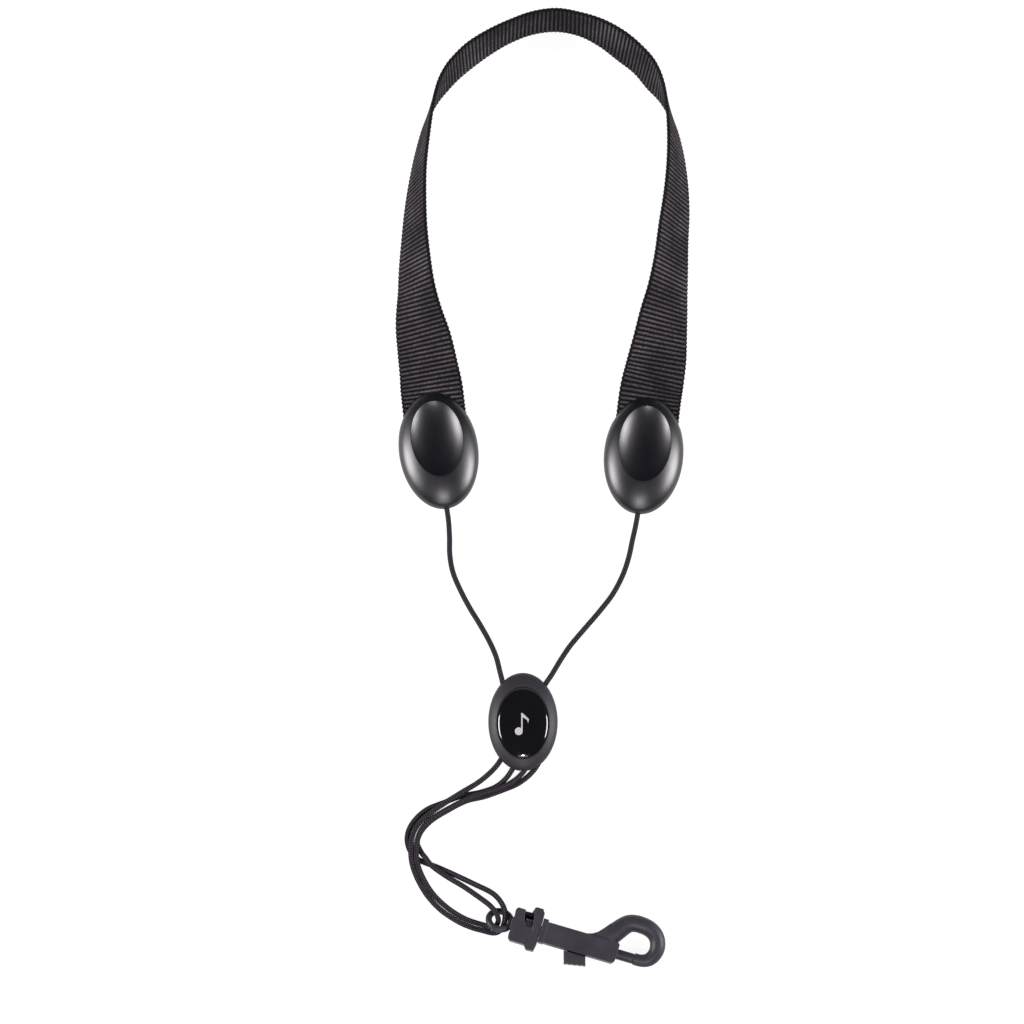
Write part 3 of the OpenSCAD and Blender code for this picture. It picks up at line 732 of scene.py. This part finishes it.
def arm_mesh(name, place):
    """The curved arm, its section an oval that changes along its route."""
    line = spline(ARM, ARM_STEPS)
    flat = np.column_stack([line[:, :2], np.zeros(len(line))])
    side = np.cross(directions(flat), (0, 0, 1.0))
    rings = []
    for p, s, half_w, half_t in zip(flat, side, line[:, 2], line[:, 3]):
        ring = [p + half_w * math.cos(a) * s + np.array((0, 0, half_t * math.sin(a)))
                for a in np.arange(ARM_SIDES) / ARM_SIDES * 2 * math.pi]
        rings.append(np.array(ring))
    return rings_mesh(name, rings, place)


def hook_body(name, place):
    """Body, arm, neck and swivel head in one moulding, bored for the bolt."""
    w = BODY_W
    outline = [(0, -w), (BODY_L - 1.6, -w), (BODY_L - 0.3, -w + 1.4),
               (BODY_L, w - 1), (BODY_L - 0.8, w), (0, w)]
    body = prism_mesh(name, outline, -BODY_T, BODY_T, place)
    parts = [
        arm_mesh("arm", place),
        prism_mesh("web", WEB, -WEB_T, WEB_T, place),
        rod_mesh("neck", NECK_R, (-9.4, 0, 0), (0.5, 0, 0), place),
        rod_mesh("head", HEAD_R, (-10.4, 0, 0), (-6.4, 0, 0), place),
        prism_mesh("collar", COLLAR, -COLLAR_T, COLLAR_T, place),
    ]
    combine(body, parts, "UNION")
    slot_t = STEM_T + STEM_CLEAR
    cutters = [
        rod_mesh("bore", BOLT_BORE_R, (2.5, 0, 0), (40, 0, 0), place),
        rod_mesh("cup", TIP_CUP_R, (43, 0, 0), (45.6, 0, 0), place),
        box_mesh("slot", (3.2, -10, -slot_t), (22.4, 0, slot_t), place),
    ]
    combine(body, cutters, "DIFFERENCE")
    return softened(body, *BODY_SOFT)


def hook_bolt(name, place):
    """The sliding bolt with its stem and its grooved thumb tab."""
    bolt = rod_mesh(name, BOLT_R, (13, 0, 0), (44.45, 0, 0), place)
    stem = box_mesh("stem", (13, -8, -STEM_T), (22, 0, STEM_T), place)
    tab = prism_mesh("tab", TAB, -TAB_T, TAB_T, place)
    grooves = []
    for i in range(GROOVES):
        x, y = 14.6 + GROOVE_STEP[0] * i, -12 + GROOVE_STEP[1] * i
        grooves.append(rod_mesh("groove", GROOVE_R, (x, y, -5), (x, y, 5), place, sides=24))
    combine(tab, grooves, "DIFFERENCE")
    tip = rod_mesh("tip", TIP_R, (44, 0, 0), (45.4, 0, 0), place)
    combine(bolt, [stem, tab, tip], "UNION")
    return softened(bolt, *BOLT_SOFT)


EYE = (-22.4, -0.3)
EYE_R, WIRE_R, EYE_TILT = 5.4, 1.6, math.radians(-33)
EYE_AROUND, WIRE_SIDES = 96, 32
BLOCK_T, FLANGE_T = 5.2, 4.6
BLOCK = [
    (-16.3, 6.4), (-15.3, 7.8), (-11.7, 7.7), (-7.6, 7.9), (-6.2, 0.5), (-5.4, -1), (-6.3, -4.5),
    (-8.2, -8.5), (-15.2, -8.4), (-16.3, -7.4), (-16.4, -5.3), (-16.1, -3.2), (-16.7, -2.4), (-16.7, 2),
    (-16, 3.2),
]
FLANGE = [
    (-8.2, 9.2), (-6.8, 10.4), (-3.6, 10.4), (-2.4, 8.6), (-2.2, -6.4), (-2.9, -10.2), (-6.5, -10.4),
    (-8.4, -8),
]
SLOT = [(-11.7, 12), (-11.4, 5), (-10.6, 2), (-9.2, 0.2), (-6.4, 0.2), (-6.6, 4), (-8.2, 12)]
HEAD_POCKET_R, NECK_BORE_R = 4.5, 2.66


def swivel_eye(name, place):
    """The ring, the block with its open slot, and the end flange, in one moulding."""
    ring_way = Matrix.Translation((EYE[0], EYE[1], 0)) @ Matrix.Rotation(EYE_TILT, 4, "X")
    verts = []
    for i in range(EYE_AROUND):
        a = 2 * math.pi * i / EYE_AROUND
        for k in range(WIRE_SIDES):
            b = 2 * math.pi * k / WIRE_SIDES
            r = EYE_R + WIRE_R * math.cos(b)
            verts.append(ring_way @ Vector((r * math.cos(a), r * math.sin(a), WIRE_R * math.sin(b))))
    faces = []
    for i in range(EYE_AROUND):
        this, after = i * WIRE_SIDES, (i + 1) % EYE_AROUND * WIRE_SIDES
        for k in range(WIRE_SIDES):
            beside = (k + 1) % WIRE_SIDES
            faces.append((this + k, after + k, after + beside, this + beside))
    eye = new_mesh(name, verts, faces)
    eye.data.transform(place @ Matrix.Scale(MM, 4))
    parts = [prism_mesh("block", BLOCK, -BLOCK_T, BLOCK_T, place),
             prism_mesh("flange", FLANGE, -FLANGE_T, FLANGE_T, place)]
    combine(eye, parts, "UNION")
    cutters = [
        rod_mesh("pocket", HEAD_POCKET_R, (-10.6, 0, 0), (-6.2, 0, 0), place),
        prism_mesh("slot", SLOT, -3, 9, place),
        rod_mesh("bore", NECK_BORE_R, (-7, 0, 0), (-1, 0, 0), place),
    ]
    combine(eye, cutters, "DIFFERENCE")
    return softened(eye, *EYE_SOFT)


hook_shell = hook_body("hook_moulding", hook_place)
bolt_shell = hook_bolt("bolt_moulding", hook_place)
eye_shell = swivel_eye("eye_moulding", hook_place)
for shell, body, node in (
    (hook_shell, "hook", "hook_body"),
    (bolt_shell, "bolt", "hook_bolt"),
    (eye_shell, "eye", "swivel_eye"),
):
    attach(shell, body)
    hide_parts(node)

# ---------------------------------------------------------------- materials


class Nodes:
    """Builds one material's nodes."""

    def __init__(self, name):
        self.material = bpy.data.materials.new(name)
        self.material.use_nodes = True
        self.tree = self.material.node_tree
        self.tree.nodes.clear()
        self.shader = self.add("ShaderNodeBsdfPrincipled")
        out = self.add("ShaderNodeOutputMaterial")
        self.tree.links.new(self.shader.outputs[0], out.inputs[0])

    def add(self, kind, **settings):
        node = self.tree.nodes.new(kind)
        for key, value in settings.items():
            setattr(node, key, value)
        return node

    def link(self, source, target):
        if isinstance(source, (int, float)):
            target.default_value = source
        else:
            self.tree.links.new(source, target)

    def math(self, operation, a, b=None, clamp=False):
        node = self.add("ShaderNodeMath", operation=operation, use_clamp=clamp)
        self.link(a, node.inputs[0])
        if b is not None:
            self.link(b, node.inputs[1])
        return node.outputs[0]

    def attribute(self, name):
        return self.add("ShaderNodeAttribute", attribute_name=name).outputs["Fac"]

    def place(self, scale=(1, 1, 1)):
        where = self.add("ShaderNodeTexCoord").outputs["Object"]
        node = self.add("ShaderNodeMapping")
        node.inputs["Scale"].default_value = scale
        self.tree.links.new(where, node.inputs[0])
        return node.outputs[0]

    def noise(self, scale, detail=3, stretch=(1, 1, 1)):
        node = self.add("ShaderNodeTexNoise")
        node.inputs["Scale"].default_value = scale
        node.inputs["Detail"].default_value = detail
        self.tree.links.new(self.place(stretch), node.inputs["Vector"])
        return node.outputs[0]

    def ramp(self, source, stops):
        node = self.add("ShaderNodeValToRGB")
        elements = node.color_ramp.elements
        while len(elements) < len(stops):
            elements.new(0.5)
        for element, (where, colour) in zip(elements, stops):
            element.position = where
            element.color = (*colour, 1)
        self.link(source, node.inputs[0])
        return node.outputs[0]

    def spread(self, source, low, high):
        node = self.add("ShaderNodeMapRange")
        self.link(source, node.inputs["Value"])
        node.inputs["To Min"].default_value = low
        node.inputs["To Max"].default_value = high
        return node.outputs[0]

    def bump(self, height, strength, distance):
        node = self.add("ShaderNodeBump")
        node.inputs["Strength"].default_value = strength
        node.inputs["Distance"].default_value = distance
        self.link(height, node.inputs["Height"])
        self.tree.links.new(node.outputs[0], self.shader.inputs["Normal"])

    def set(self, **values):
        for key, value in values.items():
            socket = self.shader.inputs[key.replace("_", " ")]
            if isinstance(value, bpy.types.NodeSocket):
                self.tree.links.new(value, socket)
            else:
                socket.default_value = value


# Colours as stops of a ramp, from the bottom of the weave to its crests; the dark bottom is painted shade,
# and on the webbing the pale crests are a painted highlight.
WEBBING_SHADE_TO_HIGHLIGHT = [(0.0, (0.003, 0.0027, 0.0033)), (0.3, (0.018, 0.0157, 0.0185)), (1.0, (0.125, 0.11, 0.125))]
CORD_GAP_SHADE_TONES = [(0.0, (0.007, 0.0062, 0.0075)), (0.4, (0.027, 0.024, 0.029)), (1.0, (0.09, 0.08, 0.097))]
YARN = 0.62
# Where the painted shade towards each selvedge begins, in millimetres from the middle, and how fast it
# deepens.
SELVEDGE_SHADE_FROM, SELVEDGE_SHADE_RISE = 14.4, 1.6


def webbing_material():
    """Ribs of black yarn, paler along their crests as a painted highlight, darker between them and towards
    the selvedges as painted shade.
    """
    n = Nodes("ribbed_black_webbing")
    wave = n.attribute("wave")
    across = n.attribute("across")
    yarn = n.math("ABSOLUTE", n.math("SINE", n.math("MULTIPLY", across, math.pi / YARN)))
    fine = n.noise(900, 4)
    patch = n.noise(45, 2)
    # Painted shade: the webbing darkens towards each selvedge.
    past = n.math("SUBTRACT", n.math("ABSOLUTE", across), SELVEDGE_SHADE_FROM)
    selvedge = n.math("MULTIPLY", past, SELVEDGE_SHADE_RISE, clamp=True)
    selvedge_shade_factor = n.math("SUBTRACT", 1.0, n.math("MULTIPLY", selvedge, 0.6))
    # Painted highlight on each rib's crest and painted shade between ribs, multiplied by the yarn's own
    # random tone.
    crest_highlight_and_yarn_tone = n.math("MULTIPLY", n.math("POWER", wave, 2.6), selvedge_shade_factor)
    crest_highlight_and_yarn_tone = n.math("MULTIPLY", crest_highlight_and_yarn_tone, n.math("ADD", 0.55, n.math("MULTIPLY", yarn, 0.45)))
    crest_highlight_and_yarn_tone = n.math("MULTIPLY", crest_highlight_and_yarn_tone, n.math("ADD", 0.15, n.math("MULTIPLY", fine, 1.3)))
    crest_highlight_and_yarn_tone = n.math("MULTIPLY", crest_highlight_and_yarn_tone, n.math("ADD", 0.1, n.math("MULTIPLY", patch, 1.6)), clamp=True)
    n.set(Base_Color=n.ramp(crest_highlight_and_yarn_tone, WEBBING_SHADE_TO_HIGHLIGHT), Roughness=0.85, Specular_IOR_Level=0.05)
    n.bump(n.math("ADD", n.math("MULTIPLY", yarn, 0.7), n.math("MULTIPLY", fine, 0.5)), 0.5, 0.0003)
    return n.material


def cord_material():
    """Charcoal strands, one crossing set a little paler than the other, with painted shade in the gaps
    between strands.
    """
    n = Nodes("braided_charcoal_cord")
    pillow = n.attribute("pillow")
    over = n.attribute("over")
    fine = n.noise(1400, 4)
    set_tone = n.math("ADD", 0.5, n.math("MULTIPLY", over, 0.5))
    # Painted shade: dark in the gaps between strands, paler on their crowns.
    tone = n.math("MULTIPLY", n.math("POWER", pillow, 1.6), set_tone)
    tone = n.math("MULTIPLY", tone, n.math("ADD", 0.55, n.math("MULTIPLY", fine, 0.9)), clamp=True)
    n.set(Base_Color=n.ramp(tone, CORD_GAP_SHADE_TONES), Roughness=0.8, Specular_IOR_Level=0.02)
    n.bump(fine, 0.4, 0.0002)
    return n.material


def plastic(name, base, roughness, grain=0.35, coat=0.0, shine=0.5, mottle=0.15):
    """Moulded plastic with a fine grain, clouded a little in colour and scuffed a little in gloss."""
    n = Nodes(name)
    cloud = n.noise(90, 3)
    fine = n.noise(2200, 2)
    scuff = n.noise(500, 3, (1, 0.08, 1))
    tone = n.math("ADD", 0.9, n.math("MULTIPLY", cloud, 0.2))
    dark = tuple(c * (1 - mottle) for c in base)
    light = tuple(c * (1 + mottle) for c in base)
    wear_tone = n.math("ADD", n.math("MULTIPLY", scuff, 0.5), n.math("MULTIPLY", cloud, 0.5))
    n.set(Base_Color=n.ramp(n.math("MULTIPLY", tone, 0.5), [(0.47, dark), (0.53, light)]),
          Roughness=n.spread(wear_tone, roughness - 0.05, roughness + 0.07),
          Specular_IOR_Level=shine, Coat_Weight=coat, Coat_Roughness=0.08)
    n.bump(fine, grain, 0.00004)
    return n.material


def metal(name, base, roughness):
    """Bare metal with fine streaks along it."""
    n = Nodes(name)
    streak = n.noise(700, 3, (1, 0.05, 1))
    n.set(Base_Color=n.ramp(streak, [(0.3, tuple(c * 0.85 for c in base)), (0.7, base)]), Metallic=1.0,
          Roughness=n.spread(streak, roughness - 0.06, roughness + 0.1))
    n.bump(streak, 0.2, 0.00003)
    return n.material


def wear(obj, material):
    """Gives the object this one material."""
    obj.data.materials.clear()
    obj.data.materials.append(material)


cord_look = cord_material()
cap_look = plastic("satin_black_cap", (0.0022, 0.002, 0.0045), 0.35, shine=0.8)
slider_look = plastic("satin_grey_slider", (0.021, 0.0195, 0.0245), 0.48, shine=0.3)
badge_look = plastic("gloss_black_badge", (0.004, 0.004, 0.005), 0.1, grain=0.02, coat=1.0)
hook_look = plastic("satin_dark_hook", (0.023, 0.0205, 0.0275), 0.45, shine=0.35, mottle=0.35)
steel_look = metal("drawn_steel", (0.55, 0.55, 0.57), 0.3)
silver_look = plastic("silver_ink", (0.42, 0.41, 0.43), 0.4)
knot_look = plastic("pulled_cord_knot", (0.02, 0.018, 0.021), 0.75, grain=1.0, shine=0.15)
wear(webbing, webbing_material())
for obj in cords:
    wear(obj, cord_look)
for obj in caps:
    wear(obj, cap_look)
for obj in slider_shells:
    wear(obj, slider_look)
wear(badge_dome, badge_look)
for obj in (hook_shell, bolt_shell, eye_shell):
    wear(obj, hook_look)


def repaint(node, material):
    """A finer material for a CAD node that keeps its own shape."""
    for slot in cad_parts[node].material_slots:
        slot.material = material


for node in ("left_band_pins", "right_band_pins", "slider_peg", "bolt_spring"):
    repaint(node, steel_look)
for node in ("left_cord_knot", "right_cord_knot"):
    repaint(node, knot_look)
repaint("badge_emblem", silver_look)

# ---------------------------------------------------------------- light and floor

FLOOR_REACH = 4
FLOOR_Z = -0.0003
FLOOR_TONES = [(0.3, (0.13, 0.13, 0.13)), (0.7, (0.15, 0.15, 0.15))]
FLOOR_GLOW = 0.92
SKY, SKY_STRENGTH = (0.9, 0.93, 1, 1), 0.03
LAMP_COLOUR = (1, 0.955, 0.985)

floor_corners = [(x * FLOOR_REACH, y * FLOOR_REACH, FLOOR_Z) for x, y in ((-1, -1), (1, -1), (1, 1), (-1, 1))]
floor = new_mesh("floor", floor_corners, [(0, 1, 2, 3)], smooth=False)
table = Nodes("white_light_table")
table.set(Base_Color=table.ramp(table.noise(3, 2), FLOOR_TONES), Roughness=0.9,
          Emission_Color=(1, 1, 1, 1), Emission_Strength=FLOOR_GLOW)
wear(floor, table.material)

world = bpy.data.worlds.new("studio")
world.use_nodes = True
world.node_tree.nodes["Background"].inputs[0].default_value = SKY
world.node_tree.nodes["Background"].inputs[1].default_value = SKY_STRENGTH
bpy.context.scene.world = world


def softbox(name, where, aim, size, power):
    """A rectangular lamp turned towards a point."""
    light = bpy.data.lights.new(name, "AREA")
    light.shape = "RECTANGLE"
    light.size, light.size_y = size
    light.energy = power
    light.color = LAMP_COLOUR
    obj = bpy.data.objects.new(name, light)
    obj.location = where
    obj.rotation_euler = (Vector(aim) - Vector(where)).to_track_quat("-Z", "Y").to_euler()
    bpy.context.collection.objects.link(obj)


softbox("left_box", (-1.5, 0.03, 0.82), (0, 0, 0), (0.75, 0.85), 38)
softbox("right_box", (1.5, 0.03, 0.82), (0, 0, 0), (0.75, 0.85), 38)
softbox("front_lamp", (0, -1.0, 1.5), (0, -0.05, 0), (0.14, 0.14), 9)
softbox("front_fill", (0, -1.5, 1.15), (0, -0.1, 0), (0.9, 0.4), 6.5)
